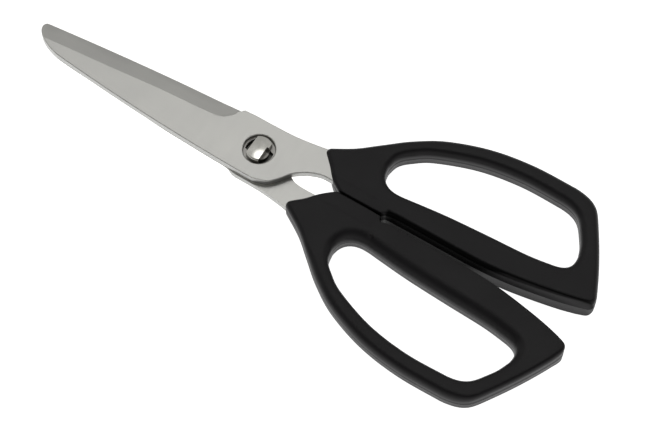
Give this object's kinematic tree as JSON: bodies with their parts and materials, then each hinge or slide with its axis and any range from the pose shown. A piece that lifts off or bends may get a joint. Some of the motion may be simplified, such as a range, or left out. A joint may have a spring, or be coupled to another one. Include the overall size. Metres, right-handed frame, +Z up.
{
  "type": "poultry shears",
  "caption": "Take-apart poultry shears with wide bevelled steel blades, a bar-headed pivot stud and moulded black finger-loop handles, lying flat and closed; they open about the stud.",
  "frame": {"origin": "centre of the underside of the closed shears' box, on the table they lie on", "axes": "+X along the closed blades to the tips, +Y towards the lower blade's handle, +Z up, square to the blades and parallel to the pivot"},
  "size_m": [0.2206, 0.0916, 0.008],
  "materials": {
    "blade_steel": "fine satin-ground stainless steel, bevels ground a shade darker",
    "polished_steel": "polished stainless steel with light turning marks",
    "handle_plastic": "matte black moulded plastic with a fine spark-eroded grain"
  },
  "bodies": {
    "lower_half": {"lower_blade": "blade_steel", "lower_handle": "handle_plastic", "pivot_stud": "polished_steel"},
    "upper_half": {"upper_blade": "blade_steel", "upper_handle": "handle_plastic"}
  },
  "joints": [
    {"name": "pivot", "type": "hinge", "parent": "lower_half", "child": "upper_half", "pos_m": [0.0175, -0.0007, 0.0041], "axis": [0, 0, 1], "range_deg": [0, 100]}
  ]
}
